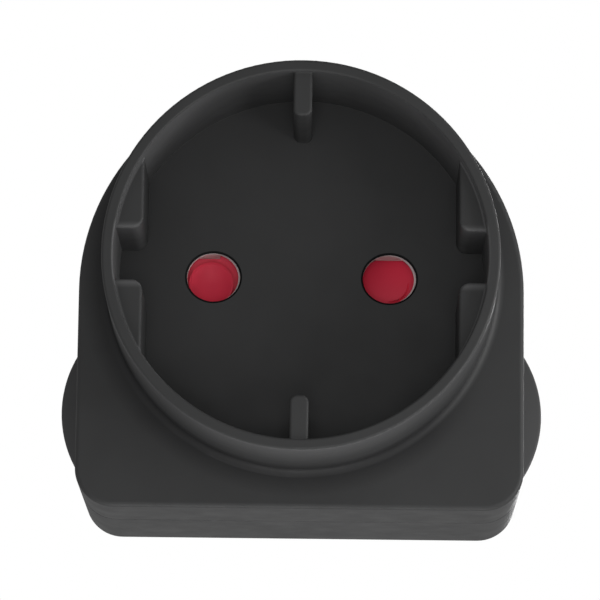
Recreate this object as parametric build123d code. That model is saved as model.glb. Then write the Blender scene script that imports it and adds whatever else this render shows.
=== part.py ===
from build123d import *
import math
import os

# Plug adapter: a round recessed two-pin socket (pins 19 mm apart) on the front,
# and a British 13 A pin set with a cartridge fuse on the back.
#
# Frame: +X right, +Z up, +Y into the wall, seen from the room.
# Origin: on the socket's axis, at the rear face that rests on the wall socket.
# All sizes in millimetres.

# ------------------------------------------------------------ driving dimensions
HALF_W = 24.0            # half the body's width
TOP_C = -1.5             # height of the centre of the rounded top
BOTTOM = -25.2           # flat bottom side
CORNER = 4.2             # bottom corner radius
WALL = 2.0               # side wall thickness

Y_REAR = 0.0             # rear face
Y_SEAM = -13.5           # joint between the two shells
Y_PLATE = -23.0          # front plate around the collar
Y_FLOOR = -22.4          # floor of the socket well
Y_RIM = -35.2            # front of the collar
FLOOR_T = 1.2            # thickness of the well's floor

COLLAR_R0 = 21.05        # collar outer radius at the plate
COLLAR_R1 = 20.98        # collar outer radius at the rim
MOUTH_R = 19.75          # well radius at the mouth
FLOOR_R = 19.65          # well radius at the floor

FLAT_X = 16.65           # guide block flats, from the axis
SLOT_UP = 2.85           # side slot, from the axis to the upper guide block
SLOT_DOWN = 2.65         # side slot, from the axis to the lower guide block
BLOCK_H = 11.3           # guide block height above the floor
RIB_H = 12.3             # rib height above the floor
RIB_REACH = 4.65         # how far a rib stands in from the wall
RIB_W = 2.0              # rib width

PIN_X = 9.5              # half the 19 mm socket pin spacing
HOLE_HW = 3.08           # socket pin hole, half width
HOLE_HH = 2.87           # socket pin hole, half height

EAR_X = 14.0             # finger ear centre
EAR_Z = -11.1
EAR_R = 13.0
EAR_T = 1.9             # at the thickest, inside the body's outline
EAR_EDGE = 0.7

UK_X = 11.1              # live and neutral pins from the middle
UK_Z = -11.1
EARTH_Z = 11.1
BLADE_W, BLADE_H = 6.35, 3.975
BLADE_L = 17.7
SLEEVE_L = 9.2
EARTH_W, EARTH_H, EARTH_L = 3.975, 7.95, 22.73

SCREWS = [(-17.5, 7.5), (17.5, 7.5), (-19.0, -20.2), (19.0, -20.2)]

FUSE_R, FUSE_L = 3.175, 25.4
FUSE_Z = -8.6
FUSE_Y = -5.6

SHUTTER_TURN = 38.0      # degrees from closed to open

os.makedirs("parts", exist_ok=True)


# ------------------------------------------------------------------------ helpers
def box(x0, x1, y0, y1, z0, z1):
    return Pos((x0 + x1) / 2, (y0 + y1) / 2, (z0 + z1) / 2) * Box(
        x1 - x0, y1 - y0, z1 - z0
    )


def cyl(r, y0, y1, x=0.0, z=0.0):
    return Pos(x, (y0 + y1) / 2, z) * Rot(90, 0, 0) * Cylinder(r, y1 - y0)


def cone(r0, r1, y0, y1, x=0.0, z=0.0):
    # r0 at y0, r1 at y1; a cylinder's local +Z turned to -Y
    return Pos(x, (y0 + y1) / 2, z) * Rot(90, 0, 0) * Cone(r1, r0, y1 - y0)


def outline(edges):
    # a closed face from edges drawn in local x = X and local y = Z
    return Face(Wire(edges))


def prism(face, y0, y1):
    # the face stands at y1 and is extruded back to y0
    plane = Plane(origin=(0, y1, 0), x_dir=(1, 0, 0), z_dir=(0, -1, 0))
    return extrude(plane * face, amount=y1 - y0, dir=(0, -1, 0))


def d_profile(inset=0.0):
    r = HALF_W - inset
    zb = BOTTOM + inset
    c = max(CORNER - inset, 0.6)
    k = c * (1 - math.sqrt(0.5))

    return outline(
        [
            ThreePointArc((-r, TOP_C), (0, TOP_C + r), (r, TOP_C)),
            Line((r, TOP_C), (r, zb + c)),
            ThreePointArc((r, zb + c), (r - k, zb + k), (r - c, zb)),
            Line((r - c, zb), (-r + c, zb)),
            ThreePointArc((-r + c, zb), (-r + k, zb + k), (-r, zb + c)),
            Line((-r, zb + c), (-r, TOP_C)),
        ]
    )


def oval(cx, hw, hh):
    return Pos(cx, 0) * Ellipse(hw, hh)


def edges_at_y(shape, y, tol=1e-3):
    return [
        e
        for e in shape.edges()
        if abs(e.bounding_box().min.Y - y) < tol and abs(e.bounding_box().max.Y - y) < tol
    ]


def save(shape, name):
    solids = shape.solids()
    out = solids[0] if len(solids) == 1 else Compound(children=list(solids))
    export_step(out, "parts/" + name + ".step")
    print(name, "solids", len(solids), "volume %.1f" % sum(s.volume for s in solids))


# -------------------------------------------------------------------- front shell
body = prism(d_profile(), Y_PLATE, Y_SEAM)
body = fillet(edges_at_y(body, Y_PLATE), 0.5)
seam_edges = edges_at_y(body, Y_SEAM)
body = chamfer(seam_edges, 0.22)

# collar, turned about the socket's axis (half section in X and Y)
collar_pts = [
    (MOUTH_R - 1.2, Y_PLATE + 0.6),
    (MOUTH_R - 1.2, Y_RIM),
    (COLLAR_R1, Y_RIM),
    (COLLAR_R0, Y_PLATE),
    (COLLAR_R0, Y_PLATE + 0.6),
]
collar = revolve(make_face(Polyline(*collar_pts, close=True)), axis=Axis.Y)
front = body + collar
base_ring = [
    e
    for e in edges_at_y(front, Y_PLATE)
    if e.geom_type == GeomType.CIRCLE and abs(e.radius - COLLAR_R0) < 0.02
]
front = fillet(base_ring, 0.85)
outer_rim = [
    e
    for e in edges_at_y(front, Y_RIM)
    if e.geom_type == GeomType.CIRCLE and abs(e.radius - COLLAR_R1) < 0.02
]
front = fillet(outer_rim, 0.3)

# the well
well = cone(MOUTH_R, FLOOR_R, Y_RIM, Y_FLOOR)
front = front - well
inner_rim = [
    e
    for e in edges_at_y(front, Y_RIM)
    if e.geom_type == GeomType.CIRCLE and abs(e.radius - MOUTH_R) < 0.05
]
front = fillet(inner_rim, 0.25)


# guide blocks: four pads between the flats and the well's wall
def guide_block(sx, sz):
    h = BLOCK_H
    yf = Y_FLOOR - h
    z_out = math.sqrt((FLOOR_R + 0.6) ** 2 - FLAT_X**2) + 0.4
    x0 = FLAT_X
    x1 = 20.4
    z0 = SLOT_UP if sz > 0 else SLOT_DOWN
    r = 1.2
    k = r * (1 - math.sqrt(0.5))
    b = prism(
        outline(
            [
                Line((x0, z0 + r), (x0, z_out)),
                Line((x0, z_out), (x1, z_out)),
                Line((x1, z_out), (x1, z0)),
                Line((x1, z0), (x0 + r, z0)),
                ThreePointArc((x0 + r, z0), (x0 + k, z0 + k), (x0, z0 + r)),
            ]
        ),
        yf,
        Y_FLOOR + 0.3,
    )
    front_edges = [
        e
        for e in edges_at_y(b, yf)
        if e.bounding_box().max.X < x1 - 0.1 or e.bounding_box().max.Z < z0 + r + 0.1
    ]
    b = fillet(front_edges, 0.35)
    b = b & cyl(FLOOR_R + 0.55, yf - 1, Y_FLOOR + 1)
    if sx < 0:
        b = mirror(b, about=Plane.YZ)
    if sz < 0:
        b = mirror(b, about=Plane.XY)
    return b


for sx in (-1, 1):
    for sz in (-1, 1):
        front = front + guide_block(sx, sz)


# ribs: a narrow pad at the top and one at the bottom
def rib(sz):
    yf = Y_FLOOR - RIB_H
    z0 = FLOOR_R - RIB_REACH
    z1 = FLOOR_R + 0.4
    hw = RIB_W / 2
    r = 0.75
    k = r * (1 - math.sqrt(0.5))
    b = prism(
        outline(
            [
                Line((-hw, z0 + r), (-hw, z1)),
                Line((-hw, z1), (hw, z1)),
                Line((hw, z1), (hw, z0 + r)),
                ThreePointArc((hw, z0 + r), (hw - k, z0 + k), (hw - r, z0)),
                Line((hw - r, z0), (-hw + r, z0)),
                ThreePointArc((-hw + r, z0), (-hw + k, z0 + k), (-hw, z0 + r)),
            ]
        ),
        yf,
        Y_FLOOR + 0.3,
    )
    b = fillet(
        [e for e in edges_at_y(b, yf) if e.bounding_box().max.Z < z1 - 0.05], 0.3
    )
    if sz < 0:
        b = mirror(b, about=Plane.XY)
    return b


front = front + rib(1) + rib(-1)

# hollow behind the plate, and the rebate for the rear shell's lip
front = front - prism(d_profile(WALL), Y_FLOOR + FLOOR_T, Y_SEAM + 1)
front = front - prism(d_profile(0.95), Y_SEAM - 1.3, Y_SEAM + 1)

# screw bosses
for x, z in SCREWS:
    boss = cyl(2.3, Y_FLOOR + FLOOR_T - 0.2, Y_SEAM - 0.05, x, z)
    boss = boss & prism(d_profile(0.98), Y_FLOOR, Y_SEAM)
    front = front + boss
for x, z in SCREWS:
    front = front - cyl(1.22, -19.9, Y_SEAM + 1, x, z)

# two oval pin holes
for sx in (-1, 1):
    front = front - prism(
        oval(sx * PIN_X, HOLE_HW, HOLE_HH), Y_FLOOR - 0.5, Y_FLOOR + FLOOR_T + 0.5
    )
save(front, "front_shell")

# --------------------------------------------------------------------- rear shell
rear = prism(d_profile(), Y_SEAM, Y_REAR)
rear = fillet(edges_at_y(rear, Y_REAR), 0.4)
rear = chamfer(edges_at_y(rear, Y_SEAM), 0.22)
for sx in (-1, 1):
    ear = cone(EAR_R - 5.6, EAR_R, Y_REAR - EAR_T, Y_REAR - EAR_EDGE, sx * EAR_X, EAR_Z)
    ear = ear + cyl(EAR_R, Y_REAR - EAR_EDGE, Y_REAR, sx * EAR_X, EAR_Z)
    ear = fillet(
        [
            e
            for e in ear.edges()
            if e.geom_type == GeomType.CIRCLE and abs(e.radius - EAR_R) < 0.01
        ],
        0.28,
    )
    rear = rear + ear
REAR_IN = -2.2
rear = rear - prism(d_profile(WALL), Y_SEAM - 1, REAR_IN)
# lip that enters the front shell
lip = prism(d_profile(1.05), Y_SEAM - 1.15, Y_SEAM + 0.8) - prism(
    d_profile(WALL), Y_SEAM - 2, Y_SEAM + 2
)
for x, z in SCREWS:
    lip = lip - cyl(2.45, Y_SEAM - 3, Y_SEAM - 0.05, x, z)
rear = rear + lip
# screw posts
for x, z in SCREWS:
    post = cyl(3.0, Y_SEAM + 0.02, REAR_IN + 0.5, x, z)
    post = post & prism(d_profile(0.5), Y_SEAM, Y_REAR)
    rear = rear + post
# fuse chamber walls
rear = rear + box(-5.9, 5.9, -9.5, REAR_IN + 0.3, -23.6, 6.2)
rear = rear - box(-4.4, 4.4, -12, Y_REAR + 1, -22.5, 5.3)
rear = rear - box(-5.0, 5.0, -1.7, Y_REAR + 1, -22.5, 5.3)
for x, z in SCREWS:
    rear = rear - cyl(2.5, -6.0, Y_REAR + 1, x, z)
    rear = rear - cyl(1.5, -14.0, -5.9, x, z)
# pin slots
for sx in (-1, 1):
    rear = rear - box(
        sx * UK_X - BLADE_W / 2 - 0.05,
        sx * UK_X + BLADE_W / 2 + 0.05,
        REAR_IN - 1,
        Y_REAR + 1,
        UK_Z - BLADE_H / 2 - 0.05,
        UK_Z + BLADE_H / 2 + 0.05,
    )
rear = rear - box(
    -EARTH_W / 2 - 0.05,
    EARTH_W / 2 + 0.05,
    REAR_IN - 1,
    Y_REAR + 1,
    EARTH_Z - EARTH_H / 2 - 0.05,
    EARTH_Z + EARTH_H / 2 + 0.05,
)
save(rear, "rear_shell")

# ---------------------------------------------------------------- shutter carrier
C0 = Y_FLOOR + FLOOR_T          # front face, against the well's floor
C1 = C0 + 2.5                   # back of its front plate
C2 = -14.4                      # back of its skirt
LIP_T = 0.32                    # thin lip at the front of each pin bore
carrier = cyl(15.6, C0, C2) - cyl(14.3, C1, C2 + 1)
for sx in (-1, 1):
    mouth = Pos(0, 0, 0.14) * prism(oval(sx * PIN_X - 0.10, 2.77, 2.65), C0 - 1, C1)
    behind = prism(oval(sx * PIN_X - 0.10, 3.3, 3.35), C0 + LIP_T, C1 + 1)
    carrier = carrier - mouth - behind
# a flat land at the top of each bore, behind the lip
for x0, x1 in ((-PIN_X - 1.65, -PIN_X + 0.6), (PIN_X - 1.5, PIN_X + 1.4)):
    carrier = carrier + box(x0, x1, C0 + LIP_T - 0.1, C1, 2.8, 3.6)
# stops for the shutter: two at rest, two at full turn
for x, z in ((10.475, 4.318), (-10.475, -4.318)):
    carrier = carrier + cyl(0.8, C1 - 0.2, C2, x, z)
for ang in (-SHUTTER_TURN - 26.6, 180 - SHUTTER_TURN - 26.6):
    x = PIN_X * math.cos(math.radians(ang))
    z = PIN_X * math.sin(math.radians(ang))
    carrier = carrier + cyl(0.8, C1 - 0.2, C2, x, z)
# post that holds the spring's fixed leg
carrier = carrier + cyl(0.7, C1 - 0.2, C2, 1.5, -5.75)
# blind seat for the pivot pin
carrier = carrier - cyl(1.5, C1 - 1.6, C1 + 1)
save(carrier, "shutter_carrier")

# ------------------------------------------------------------------------ shutter
S0 = C1 + 0.2                   # front of its lobes
S1 = S0 + 2.2                   # back of its lobes
LOBE_R = 3.4
HUB_R = 4.6
shut = cyl(HUB_R, S0, S1) + box(-PIN_X, PIN_X, S0, S1, -2.6, 2.6)
for sx in (-1, 1):
    shut = shut + cyl(LOBE_R, S0, S1, sx * PIN_X)
# the push faces slope opposite ways, so that two pins together turn the shutter:
# deeper at the bottom on the left, rounded off towards the top on the right
def over_lobe(sx):
    return box(
        sx * PIN_X - LOBE_R - 0.05, sx * PIN_X + LOBE_R + 0.05, S0 - 3, S1, -5, 5
    )


wedge = Pos(-PIN_X, S0, 0) * Rot(11.0, 0, 0) * (
    Pos(0, -3.0 + 0.88, 0) * Box(2 * LOBE_R + 0.6, 6.0, 14)
)
shut = shut - (wedge & over_lobe(-1))
drum = Pos(PIN_X, S0 + 0.22 + 13.0, -1.2) * Rot(0, -25, 0) * (
    Rot(0, 90, 0) * Cylinder(13.0, 30)
)
shut = shut - (over_lobe(1) - drum)
# left: round raised pad with a dished top
pad = cyl(2.43, S0 + 0.02, S1 - 0.2, -PIN_X - 0.35, 0.05)
dish = Pos(-PIN_X - 0.35, S0 - 5.3, 0.05) * Sphere(5.75)
shut = shut + pad
shut = shut - dish
# right: a short curved groove, deepest at the lower right
ring = cyl(1.98, S0 - 1, S1, PIN_X + 0.2, 0.2) - cyl(1.78, S0 - 2, S1 + 1, PIN_X + 0.2, 0.2)
reach = (
    Plane(origin=(PIN_X + 0.2, S0 - 0.45, 0.2), z_dir=(0.4, -1, -0.4))
    * Pos(0, 0, 6)
    * Box(20, 20, 12)
)
shut = shut - (ring & reach)
# boss behind the hub, and the bore
shut = shut + cyl(2.0, S1 - 0.1, S1 + 1.5)
shut = shut - cyl(1.55, S0 - 1, S1 + 3)
# peg that carries the spring's moving leg
shut = shut + cyl(0.45, S1 - 0.2, S1 + 0.9, 1.75, 3.65)
save(shut, "shutter")

# ----------------------------------------------------------------- pivot pin
P1 = -13.2
pivot = cyl(1.5, C1 - 1.6, P1)
save(pivot, "shutter_pivot_pin")

# ------------------------------------------------------------- torsion spring
wire_r = 0.17
coil_r = 2.45
turns = 3
pitch = 0.38
y_coil = S1 + 0.34
helix = Helix(pitch=pitch, height=turns * pitch, radius=coil_r)
# the moving leg leaves the coil's start and lies against the shutter's peg,
# the fixed leg leaves its end and lies against the carrier's post
leg_in = Line(helix @ 0 - (helix % 0) * 4.2, helix @ 0)
leg_out = Line(helix @ 1, helix @ 1 + (helix % 1) * 6.25)
wire = Wire([leg_in, helix, leg_out])
spring = sweep(Plane(origin=wire @ 0, z_dir=wire % 0) * Circle(wire_r), path=wire)
spring = Pos(0, y_coil, 0) * Rot(-90, 0, 0) * spring     # local +Z turned to +Y
save(spring, "shutter_spring")

# ----------------------------------------------------------------- contact holder
H0, H1 = C2, -13.2
holder = cyl(15.6, H0, H1)
holder = holder + box(-5.8, 5.8, H0, H1, -22.9, 0)
holder = holder + box(-5.8, 5.8, -11.4, -10.2, -22.9, 5.9)
for x0, x1 in ((-5.8, -4.8), (4.8, 5.8)):
    holder = holder + box(x0, x1, H1 - 0.1, -11.3, -22.9, 5.9)
for sx in (-1, 1):
    holder = holder + cyl(4.0, H1 - 0.1, -5.2, sx * PIN_X)
# the sleeves are cut back where the fuse chamber's walls pass them
holder = holder - box(-6.0, 6.0, -9.65, -5.0, -4.5, 4.5)
# keep the fuse platform's side clear of the round sleeves
for sx in (-1, 1):
    holder = holder - cyl(3.02, H1, -5.0, sx * PIN_X)
    holder = holder - cyl(2.7, H0 - 1, H1 + 1, sx * PIN_X)
    holder = holder - box(
        sx * PIN_X - 1.75, sx * PIN_X + 1.75, -11.4, -5.0, -5.0, -1.8
    )
holder = holder - cyl(1.5, H0 - 1, H1 + 0.02)
for z in (-18.3, 1.0):
    holder = holder - cyl(0.6, -12, -10, 0, z)
# the fuse end of the holder stays clear of the rear shell's screw posts
save(holder, "contact_holder")


# ------------------------------------------------------------ socket pin contacts
def contact(sx):
    c = cyl(2.95, H1 + 0.2, -5.8, sx * PIN_X) - cyl(
        2.43, H1 - 1, -5, sx * PIN_X
    )
    c = c - box(sx * PIN_X - 0.4, sx * PIN_X + 0.4, H1, -5, 1.5, 4)
    tab = box(sx * PIN_X - 1.5, sx * PIN_X + 1.5, -10.7, -10.2, -6.4, -2.6)
    tab = tab - cyl(2.6, -11, -10, sx * PIN_X)
    c = c + tab
    c = c - cyl(0.6, -11, -10, sx * PIN_X, -5.3)
    return c


save(contact(1), "line_contact")
save(contact(-1), "neutral_contact")


# ----------------------------------------------------------------- British pins
def blade_pin(sx):
    x = sx * UK_X
    core = box(x - 2.6, x + 2.6, -2.2, SLEEVE_L, UK_Z - 1.4, UK_Z + 1.4)
    tip = box(
        x - BLADE_W / 2, x + BLADE_W / 2, SLEEVE_L, BLADE_L, UK_Z - BLADE_H / 2,
        UK_Z + BLADE_H / 2,
    )
    tip = chamfer(edges_at_y(tip, BLADE_L), 0.85)
    long_edges = [e for e in tip.edges() if abs(e.length - (BLADE_L - SLEEVE_L - 0.85)) < 0.01]
    tip = fillet(long_edges, 0.25)
    flange = box(x - 4.0, x + 4.0, -3.7, -2.2, UK_Z - 2.8, UK_Z + 2.8)
    flange = fillet([e for e in flange.edges().filter_by(Axis.Y)], 0.6)
    stem = cyl(1.9, -9.7, -3.6, x, UK_Z) + cyl(1.2, -10.3, -9.6, x, UK_Z)
    head = cyl(1.8, -10.7, -10.2, x, UK_Z)
    return core + tip + flange + stem + head


def blade_sleeve(sx):
    x = sx * UK_X
    s = box(
        x - BLADE_W / 2, x + BLADE_W / 2, -2.2, SLEEVE_L, UK_Z - BLADE_H / 2,
        UK_Z + BLADE_H / 2,
    )
    s = fillet([e for e in s.edges().filter_by(Axis.Y)], 0.25)
    return s - box(x - 2.6, x + 2.6, -3, SLEEVE_L + 1, UK_Z - 1.4, UK_Z + 1.4)


save(blade_pin(1), "live_pin")
save(blade_sleeve(1), "live_pin_sleeve")
save(blade_pin(-1), "neutral_pin")
save(blade_sleeve(-1), "neutral_pin_sleeve")

earth = box(
    -EARTH_W / 2, EARTH_W / 2, -2.3, EARTH_L, EARTH_Z - EARTH_H / 2,
    EARTH_Z + EARTH_H / 2,
)
earth = chamfer(edges_at_y(earth, EARTH_L), 1.0)
earth_long = [e for e in earth.edges() if abs(e.length - (EARTH_L + 2.3 - 1.0)) < 0.01]
earth = fillet(earth_long, 0.3)
earth = earth + box(-2.9, 2.9, -3.7, -2.2, EARTH_Z - 4.7, EARTH_Z + 4.7)
save(earth, "earth_pin")

# ------------------------------------------------------------------ pin retainer
ret = box(-9.0, 9.0, -5.2, -3.7, 6.6, 16.8)
for sx in (-1, 1):
    ret = ret + box(
        min(sx * 6.1, sx * 14.3), max(sx * 6.1, sx * 14.3), -5.2, -3.7, -14.0, 9.0
    )
ret = fillet([e for e in ret.edges().filter_by(Axis.Y)], 0.7)
for sx in (-1, 1):
    ret = ret - cyl(2.7, -6, -3, sx * PIN_X)
    ret = ret - cyl(2.0, -6, -3, sx * UK_X, UK_Z)
save(ret, "pin_retainer")

# -------------------------------------------------------------------------- fuse
Z0, Z1 = FUSE_Z - FUSE_L / 2, FUSE_Z + FUSE_L / 2
CAP_L = 5.6


def cyl_z(r, z0, z1, x=0.0, y=0.0):
    return Pos(x, y, (z0 + z1) / 2) * Cylinder(r, z1 - z0)


tube = cyl_z(2.85, Z0 + 0.35, Z1 - 0.35, 0, FUSE_Y) - cyl_z(
    1.6, Z0 - 1, Z1 + 1, 0, FUSE_Y
)
tube = tube + (
    cyl_z(3.05, Z0 + CAP_L + 0.1, Z1 - CAP_L - 0.1, 0, FUSE_Y)
    - cyl_z(2.0, Z0, Z1, 0, FUSE_Y)
)
save(tube, "fuse_tube")
cap_lo = cyl_z(FUSE_R, Z0, Z0 + CAP_L, 0, FUSE_Y) - cyl_z(
    2.85, Z0 + 0.35, Z1, 0, FUSE_Y
)
cap_hi = cyl_z(FUSE_R, Z1 - CAP_L, Z1, 0, FUSE_Y) - cyl_z(
    2.85, Z0, Z1 - 0.35, 0, FUSE_Y
)
save(Compound(children=[cap_lo.solids()[0], cap_hi.solids()[0]]), "fuse_end_caps")
save(cyl_z(0.15, Z0 + 0.35, Z1 - 0.35, 0, FUSE_Y), "fuse_wire")

# ------------------------------------------------------------------ fuse carrier
cap = box(-4.9, 4.9, -1.65, -0.15, -22.4, 5.2)
cap = fillet([e for e in cap.edges().filter_by(Axis.Y)], 0.3)
cap = chamfer(edges_at_y(cap, -0.15), 0.2)
cradle = box(-4.25, 4.25, -7.4, -1.5, -13.8, -3.4)
carrier_f = cap + cradle
carrier_f = carrier_f - cyl_z(3.2, -15, -2, 0, FUSE_Y)
# pry slot in the cap's lower end
carrier_f = carrier_f - box(-2.2, 2.2, -0.7, 1, -23, -21.3)
save(carrier_f, "fuse_carrier")


# -------------------------------------------------------------------- fuse clips
def fuse_clip(z0, z1):
    base = box(-3.73, 3.73, -10.2, -9.7, z0, z1)
    arms = box(-3.73, -3.23, -10.2, -3.7, z0, z1) + box(
        3.23, 3.73, -10.2, -3.7, z0, z1
    )
    return base + arms


supply = fuse_clip(-21.1, -16.0)
supply = supply + box(3.5, 13.3, -10.2, -9.7, -19.6, -16.6)
supply = supply + box(8.9, 13.3, -10.2, -9.7, -19.6, -8.9)
supply = supply - cyl(1.2, -11, -9, UK_X, UK_Z) - cyl(0.6, -11, -9, 0, -18.3)
save(supply, "fuse_clip_supply")

load = fuse_clip(-1.2, 3.8)
load = load + box(1.0, 3.73, -10.2, -9.7, -7.0, -1.0)
load = load + box(1.0, 11.0, -10.2, -9.7, -7.0, -4.0)
load = load - cyl(0.6, -11, -9, PIN_X, -5.3) - cyl(0.6, -11, -9, 0, 1.0)
save(load, "fuse_clip_load")

link = box(-13.3, -9.0, -10.2, -9.7, -13.3, -7.0) + box(
    -11.0, -8.0, -10.2, -9.7, -8.0, -4.0
)
link = link - cyl(1.2, -11, -9, -UK_X, UK_Z) - cyl(0.6, -11, -9, -PIN_X, -5.3)
save(link, "neutral_link")


# --------------------------------------------------------------- contact rivets
def rivet(x, z, y0, y1):
    return (
        cyl(0.6, y0 - 0.05, y1 + 0.05, x, z)
        + cyl(1.05, y0 - 0.4, y0, x, z)
        + cyl(1.05, y1, y1 + 0.4, x, z)
    )


rivets = [
    rivet(0, -18.3, -11.4, -9.7),
    rivet(0, 1.0, -11.4, -9.7),
    rivet(PIN_X, -5.3, -10.7, -9.7),
    rivet(-PIN_X, -5.3, -10.7, -9.7),
]
save(Compound(children=[r.solids()[0] for r in rivets]), "contact_rivets")


# ------------------------------------------------------------------- case screws
def case_screw(x, z):
    head = cyl(2.3, -6.0, -4.4, x, z)
    head = fillet(
        [e for e in edges_at_y(head, -4.4) if e.geom_type == GeomType.CIRCLE], 0.5
    )
    shank = cyl(1.2, -19.5, -5.9, x, z)
    s = head + shank
    s = s - box(x - 1.3, x + 1.3, -5.2, -4, z - 0.28, z + 0.28)
    s = s - box(x - 0.28, x + 0.28, -5.2, -4, z - 1.3, z + 1.3)
    return s.solids()[0]


save(Compound(children=[case_screw(x, z) for x, z in SCREWS]), "case_screws")
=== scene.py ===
import math

import bmesh
import bpy
from mathutils import Matrix, Vector


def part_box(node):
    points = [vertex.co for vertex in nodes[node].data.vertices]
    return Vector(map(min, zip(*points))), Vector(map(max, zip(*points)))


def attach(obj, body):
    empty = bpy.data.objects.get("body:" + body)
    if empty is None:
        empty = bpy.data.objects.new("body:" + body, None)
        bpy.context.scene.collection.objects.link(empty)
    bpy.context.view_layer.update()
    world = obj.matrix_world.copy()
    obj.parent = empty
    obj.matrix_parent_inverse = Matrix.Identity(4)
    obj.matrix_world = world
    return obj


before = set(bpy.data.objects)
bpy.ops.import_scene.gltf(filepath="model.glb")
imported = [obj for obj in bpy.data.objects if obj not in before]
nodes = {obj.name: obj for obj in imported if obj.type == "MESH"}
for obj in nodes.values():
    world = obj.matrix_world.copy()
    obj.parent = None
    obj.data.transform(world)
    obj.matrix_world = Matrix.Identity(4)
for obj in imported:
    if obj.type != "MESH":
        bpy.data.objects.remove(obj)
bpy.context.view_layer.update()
scene = bpy.context.scene

MM = 0.001


# ---------------------------------------------------------------- materials
class Nodes:
    """A short way to lay out a material's node tree."""

    def __init__(self, name):
        self.mat = bpy.data.materials.new(name)
        self.mat.use_nodes = True
        self.tree = self.mat.node_tree
        self.bsdf = self.tree.nodes["Principled BSDF"]
        self.coord = self.add("ShaderNodeTexCoord")

    def add(self, kind, **values):
        node = self.tree.nodes.new(kind)
        for key, value in values.items():
            setattr(node, key, value)
        return node

    def link(self, a, b):
        self.tree.links.new(a, b)

    def place(self, scale=(1, 1, 1), turn=(0, 0, 0)):
        """Object coordinates, stretched or turned: in metres, so the grain keeps its real size."""
        m = self.add("ShaderNodeMapping")
        m.inputs["Scale"].default_value = scale
        m.inputs["Rotation"].default_value = turn
        self.link(self.coord.outputs["Object"], m.inputs["Vector"])
        return m.outputs["Vector"]

    def noise(self, size_mm, detail=3.0, rough=0.55, vector=None, distort=0.0):
        n = self.add("ShaderNodeTexNoise")
        n.inputs["Scale"].default_value = 1000.0 / size_mm
        n.inputs["Detail"].default_value = detail
        n.inputs["Roughness"].default_value = rough
        n.inputs["Distortion"].default_value = distort
        self.link(vector or self.coord.outputs["Object"], n.inputs["Vector"])
        return n.outputs["Fac"]

    def ramp(self, value, stops):
        r = self.add("ShaderNodeValToRGB")
        e = r.color_ramp.elements
        while len(e) < len(stops):
            e.new(0.5)
        for i, (pos, colour) in enumerate(stops):
            e[i].position = pos
            e[i].color = (*colour, 1) if len(colour) == 3 else colour
        self.link(value, r.inputs["Fac"])
        return r.outputs["Color"]

    def range(self, value, a, b, lo=0.0, hi=1.0):
        m = self.add("ShaderNodeMapRange")
        m.inputs["From Min"].default_value = lo
        m.inputs["From Max"].default_value = hi
        m.inputs["To Min"].default_value = a
        m.inputs["To Max"].default_value = b
        self.link(value, m.inputs["Value"])
        return m.outputs["Result"]

    def times(self, a, b):
        m = self.add("ShaderNodeMath", operation="MULTIPLY")
        self.link(a, m.inputs[0])
        self.link(b, m.inputs[1])
        return m.outputs["Value"]

    def bump(self, height, strength, distance_mm, normal=None):
        b = self.add("ShaderNodeBump")
        b.inputs["Strength"].default_value = strength
        b.inputs["Distance"].default_value = distance_mm * MM
        self.link(height, b.inputs["Height"])
        if normal is not None:
            self.link(normal, b.inputs["Normal"])
        return b.outputs["Normal"]

    def set(self, **values):
        for key, value in values.items():
            self.bsdf.inputs[key.replace("_", " ")].default_value = value

    def to(self, socket, output):
        self.link(output, self.bsdf.inputs[socket])


def shade(c, k):
    return tuple(v * k for v in c)


def moulded(name, colour, rough, grain_mm, depth_mm, specular=0.5, mottle=0.06, overpaint=None):
    """Moulded thermoplastic: a spark-eroded grain, faint flow mottling and slightly uneven gloss."""
    n = Nodes(name)
    wide = n.noise(9.0, 3.0, 0.5)
    base = n.ramp(wide, [(0.3, shade(colour, 1 - mottle)), (0.7, shade(colour, 1 + mottle))])
    # the overpaint hook may paint light or shade into the base colour
    if overpaint is not None:
        base = overpaint(n, base)
    n.to("Base Color", base)
    fine = n.noise(grain_mm, 2.0, 0.6)
    patch = n.noise(3.0, 2.0, 0.5)
    n.to("Roughness", n.range(patch, rough - 0.05, rough + 0.05, 0.3, 0.7))
    n.to("Normal", n.bump(fine, 0.5, depth_mm))
    n.set(Metallic=0.0, Specular_IOR_Level=specular, IOR=1.5)
    return n.mat


def metal(name, colour, rough, line_mm=0.12, along=(1, 1, 12), depth_mm=0.004, tarnish=0.1):
    """Rolled or drawn metal: fine lines along its length, with light and dark patches."""
    n = Nodes(name)
    lines = n.noise(line_mm, 3.0, 0.6, n.place(tuple(1.0 / a for a in along)))
    patch = n.noise(2.6, 3.0, 0.55)
    n.to("Base Color", n.ramp(patch, [(0.32, shade(colour, 1 - tarnish)), (0.68, colour)]))
    n.to("Roughness", n.range(lines, rough - 0.08, rough + 0.1, 0.3, 0.7))
    n.to("Normal", n.bump(lines, 0.4, depth_mm))
    n.set(Metallic=1.0)
    return n.mat


SHELL = (0.0300, 0.0303, 0.0306)


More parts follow.
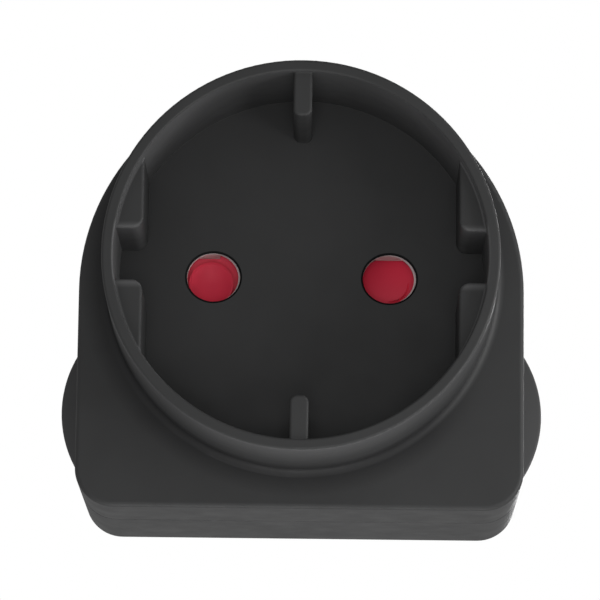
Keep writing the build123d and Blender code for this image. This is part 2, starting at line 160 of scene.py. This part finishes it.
def paint_light_and_shade(n, base):
    """Painted light: the shell's base colour made paler where fill and bounce light brighten it, on the well's
    wall (more towards its rim and sides), the side slots, the ears and the collar's lower outer wall; painted
    shade darkens the corner round the collar's foot.
    """
    split = n.add("ShaderNodeSeparateXYZ")
    n.link(n.coord.outputs["Object"], split.inputs["Vector"])
    flat = n.add("ShaderNodeCombineXYZ")
    n.link(split.outputs["X"], flat.inputs["X"])
    n.link(split.outputs["Z"], flat.inputs["Z"])
    radius = n.add("ShaderNodeVectorMath", operation="LENGTH")
    n.link(flat.outputs["Vector"], radius.inputs[0])
    ring_in = n.range(radius.outputs["Value"], 0.0, 1.0, 0.01955, 0.01962)
    ring_out = n.range(radius.outputs["Value"], 1.0, 0.0, 0.01974, 0.01979)
    deep = n.range(split.outputs["Y"], 0.5, 0.1, -0.0335, -0.0226)
    side = n.add("ShaderNodeMath", operation="ABSOLUTE")
    n.link(split.outputs["X"], side.inputs[0])
    wide = n.range(side.outputs["Value"], 1.0, 2.6, 0.006, 0.015)
    wall = n.times(n.times(n.times(ring_in, ring_out), deep), wide)
    high = n.add("ShaderNodeMath", operation="ABSOLUTE")
    n.link(split.outputs["Z"], high.inputs[0])
    slot = n.times(n.range(side.outputs["Value"], 0.0, 1.3, 0.01655, 0.0168), n.range(high.outputs["Value"], 1.0, 0.0, 0.0029, 0.0036))
    slot = n.times(slot, n.range(split.outputs["Y"], 1.0, 0.0, -0.0229, -0.0224))
    inside = n.range(radius.outputs["Value"], 1.0, 0.0, 0.0198, 0.02)
    slot = n.times(slot, inside)
    ear = n.range(side.outputs["Value"], 0.0, 0.45, 0.0241, 0.0245)
    outer = n.times(n.range(radius.outputs["Value"], 0.0, 1.0, 0.02085, 0.02095), n.range(radius.outputs["Value"], 1.0, 0.0, 0.0212, 0.0216))
    under = n.range(split.outputs["Z"], 1.0, 0.0, -0.019, -0.006)
    brim = n.range(split.outputs["Y"], 0.75, 0.0, -0.0349, -0.027)
    collar = n.times(n.times(outer, under), brim)
    lit_wall_and_ears = n.add("ShaderNodeMath", operation="MAXIMUM")
    n.link(wall, lit_wall_and_ears.inputs[0])
    n.link(ear, lit_wall_and_ears.inputs[1])
    gain = n.add("ShaderNodeMath", operation="MAXIMUM")
    n.link(lit_wall_and_ears.outputs["Value"], gain.inputs[0])
    n.link(slot, gain.inputs[1])
    painted_light = n.add("ShaderNodeMath", operation="MAXIMUM")
    n.link(gain.outputs["Value"], painted_light.inputs[0])
    n.link(collar, painted_light.inputs[1])
    # painted light: blend the base colour towards a paler grey wherever these masks reach
    mix = n.add("ShaderNodeMix", data_type="RGBA", blend_type="MIX")
    n.link(painted_light.outputs["Value"], mix.inputs[0])
    n.link(base, mix.inputs[6])
    mix.inputs[7].default_value = (0.067, 0.067, 0.068, 1)
    # painted shade: the corner round the collar's foot is made darker, except towards the right, standing in
    # for the shade that gathers in that corner
    foot = n.times(n.range(radius.outputs["Value"], 0.0, 1.0, 0.0208, 0.0211), n.range(radius.outputs["Value"], 1.0, 0.0, 0.0218, 0.0240))
    foot = n.times(foot, n.range(split.outputs["Y"], 0.0, 1.0, -0.0262, -0.0242))
    foot = n.times(foot, n.range(split.outputs["X"], 1.0, 0.0, 0.014, 0.020))
    painted_foot_shade = n.add("ShaderNodeMix", data_type="RGBA", blend_type="MIX")
    n.link(n.times(foot, n.range(split.outputs["Y"], 1.0, 0.0, -0.0229, -0.0226)), painted_foot_shade.inputs[0])
    n.link(mix.outputs[2], painted_foot_shade.inputs[6])
    painted_foot_shade.inputs[7].default_value = (0.014, 0.014, 0.0145, 1)
    return painted_foot_shade.outputs[2]


# the shell's colour carries painted light (well wall, side slots, ears, collar underside) and painted shade
# (collar's foot)
shell = moulded("shell_plastic", SHELL, 0.52, 0.16, 0.012, specular=0.22, overpaint=paint_light_and_shade)
sleeve = moulded("sleeve_plastic", (0.016, 0.016, 0.017), 0.38, 0.12, 0.006)
drawer = moulded("drawer_plastic", (0.030, 0.030, 0.031), 0.45, 0.14, 0.008)
holder = moulded("holder_plastic", (0.085, 0.085, 0.09), 0.5, 0.18, 0.01)
carrier = moulded("carrier_plastic", (0.62, 0.50, 0.50), 0.5, 0.25, 0.008, specular=0.3, mottle=0.03)
red = moulded("shutter_red", (0.90, 0.048, 0.098), 0.48, 0.3, 0.006, specular=0.22, mottle=0.05)
ceramic = moulded("fuse_ceramic", (0.72, 0.69, 0.62), 0.25, 0.2, 0.006, mottle=0.04)
steel = metal("zinc_steel", (0.60, 0.61, 0.62), 0.33)
spring = metal("spring_wire", (0.40, 0.41, 0.43), 0.3)
brass = metal("brass_strip", (0.78, 0.57, 0.26), 0.26)
pins = metal("pin_brass", (0.80, 0.62, 0.30), 0.22, line_mm=0.1, along=(1, 12, 1), depth_mm=0.002, tarnish=0.04)
nickel = metal("nickel_plate", (0.72, 0.70, 0.66), 0.18)

GIVEN = {
    "front_shell": shell, "rear_shell": shell, "shutter_carrier": carrier, "shutter": red,
    "shutter_pivot_pin": steel, "shutter_spring": spring, "contact_holder": holder,
    "line_contact": brass, "neutral_contact": brass, "live_pin": pins, "neutral_pin": pins,
    "live_pin_sleeve": sleeve, "neutral_pin_sleeve": sleeve, "earth_pin": sleeve,
    "pin_retainer": holder, "fuse_tube": ceramic, "fuse_end_caps": nickel, "fuse_wire": spring,
    "fuse_carrier": drawer, "fuse_clip_supply": brass, "fuse_clip_load": brass,
    "neutral_link": brass, "contact_rivets": brass, "case_screws": steel,
}
for name, node in nodes.items():
    node.data.materials.clear()
    node.data.materials.append(GIVEN[name])

# ---------------------------------------------------------------- pin hole edges
def hole_edge(name, cx):
    """The bevelled edge of a pin hole: a closed ring, wide at the well's floor, narrow just behind it, coloured
    near-black as painted shade where shadow falls in the bevel.
    """
    lo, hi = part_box("front_shell")
    y0 = -22.4
    rings = [
        (3.085, 2.875, y0 - 0.012), (3.06, 2.85, y0 - 0.02), (2.90, 2.69, y0 + 0.10),
        (2.87, 2.66, y0 + 0.16), (2.87, 2.66, y0 + 0.24), (2.93, 2.72, y0 + 0.30),
        (3.085, 2.875, y0 + 0.34),
    ]
    bm = bmesh.new()
    count = 96
    loops = []
    for a, b, y in rings:
        loops.append([
            bm.verts.new((
                (cx + a * math.cos(2 * math.pi * i / count)) * MM,
                y * MM,
                b * math.sin(2 * math.pi * i / count) * MM,
            ))
            for i in range(count)
        ])
    for k in range(len(loops)):
        p, q = loops[k], loops[(k + 1) % len(loops)]
        for i in range(count):
            j = (i + 1) % count
            bm.faces.new((p[i], p[j], q[j], q[i]))
    bmesh.ops.recalc_face_normals(bm, faces=bm.faces)
    mesh = bpy.data.meshes.new(name)
    bm.to_mesh(mesh)
    bm.free()
    for f in mesh.polygons:
        f.use_smooth = True
    obj = bpy.data.objects.new(name, mesh)
    scene.collection.objects.link(obj)
    mesh.materials.append(hole_edge_shade)
    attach(obj, "adapter_body")
    return obj


# painted shade: near-black colour for the rings in the holes' bevels, standing in for their shadow
hole_edge_shade = moulded("hole_edge_painted_shade", (0.0035, 0.0045, 0.0045), 0.6, 0.2, 0.004, specular=0.12)
hole_edge("pin_hole_edge_left", -9.5)
hole_edge("pin_hole_edge_right", 9.5)

# ---------------------------------------------------------------- stage
bpy.ops.mesh.primitive_plane_add(size=12.0, location=(0, 0, -1.1))
floor = bpy.context.object
floor.name = "stage_floor"
pale = Nodes("pale_floor")
pale.to("Base Color", pale.ramp(pale.noise(40.0, 2.0), [(0.4, (0.86, 0.86, 0.86)), (0.6, (0.9, 0.9, 0.9))]))
pale.set(Roughness=0.8, Emission_Strength=0.55)
pale.bsdf.inputs["Emission Color"].default_value = (1, 1, 1, 1)
floor.data.materials.append(pale.mat)
floor.visible_diffuse = False      # it is a backdrop: it lights nothing
floor.visible_glossy = False

world = bpy.data.worlds.new("studio")
scene.world = world
world.use_nodes = True
wt = world.node_tree
for old in list(wt.nodes):
    wt.nodes.remove(old)
out = wt.nodes.new("ShaderNodeOutputWorld")
mix = wt.nodes.new("ShaderNodeMixShader")
seen = wt.nodes.new("ShaderNodeBackground")
soft = wt.nodes.new("ShaderNodeBackground")
path = wt.nodes.new("ShaderNodeLightPath")
seen.inputs["Color"].default_value = (1, 1, 1, 1)
seen.inputs["Strength"].default_value = 1.0
soft.label = "soft"
soft.inputs["Color"].default_value = (1, 1, 1, 1)
soft.inputs["Strength"].default_value = 0.44
wt.links.new(path.outputs["Is Camera Ray"], mix.inputs["Fac"])
wt.links.new(soft.outputs[0], mix.inputs[1])
wt.links.new(seen.outputs[0], mix.inputs[2])
wt.links.new(mix.outputs[0], out.inputs["Surface"])


# ---------------------------------------------------------------- lights (positions in mm)
def area(name, at, target, size, energy, colour=(1, 1, 1)):
    data = bpy.data.lights.new(name, "AREA")
    data.shape = "DISK"
    data.size = size * MM
    data.energy = energy
    data.color = colour
    lamp = bpy.data.objects.new(name, data)
    scene.collection.objects.link(lamp)
    a, t = Vector(at) * MM, Vector(target) * MM
    lamp.location = a
    lamp.rotation_mode = "QUATERNION"
    lamp.rotation_quaternion = (t - a).to_track_quat("-Z", "Y")
    return lamp


LAMPS = [
    ("camera_ring", (0, -460, -100), 140, 0.28),
    ("graze_right", (230, -72, -10), 70, 0.20),
    ("near_right", (130, -120, -60), 60, 0.092),
    ("low_front", (-40, -330, -330), 260, 0.24),
    ("below", (0, -20, -400), 300, 0.60),
    ("below_front", (0, -160, -360), 240, 0.20),
    ("right_top", (300, -150, 250), 200, 0.26),
    ("rear_fill", (120, 420, 160), 320, 2.4),
]
for lamp_name, at, size, energy in LAMPS:
    area(lamp_name, at, (0, -20, 0), size, energy)

scene.view_settings.view_transform = "Standard"
scene.view_settings.look = "None"
scene.view_settings.exposure = 0.0
scene.view_settings.gamma = 1.0

# ---------------------------------------------------------------- camera
AZ, EL, ROLL = math.radians(0.451), math.radians(-11.56), math.radians(0.72)
DIST = 448.0
TX, TZ, AIM_Y = -0.13, -2.42, -22.4
back = Vector((math.sin(AZ) * math.cos(EL), -math.cos(AZ) * math.cos(EL), math.sin(EL)))
right = Vector((math.cos(AZ), math.sin(AZ), 0))
up = (-back).cross(right) * -1.0
right_r = right * math.cos(ROLL) + up * math.sin(ROLL)
up_r = up * math.cos(ROLL) - right * math.sin(ROLL)
place = (Vector((TX, AIM_Y, TZ)) + back * DIST) * MM
cam_data = bpy.data.cameras.new("camera")
cam_data.sensor_width = 36.0
cam_data.lens = 9.272 * DIST * 36.0 / 600.0
cam_data.clip_start, cam_data.clip_end = 0.01, 50.0
cam = bpy.data.objects.new("camera", cam_data)
scene.collection.objects.link(cam)
cam.matrix_world = Matrix((
    (right_r.x, up_r.x, back.x, place.x),
    (right_r.y, up_r.y, back.y, place.y),
    (right_r.z, up_r.z, back.z, place.z),
    (0, 0, 0, 1),
))
scene.camera = cam
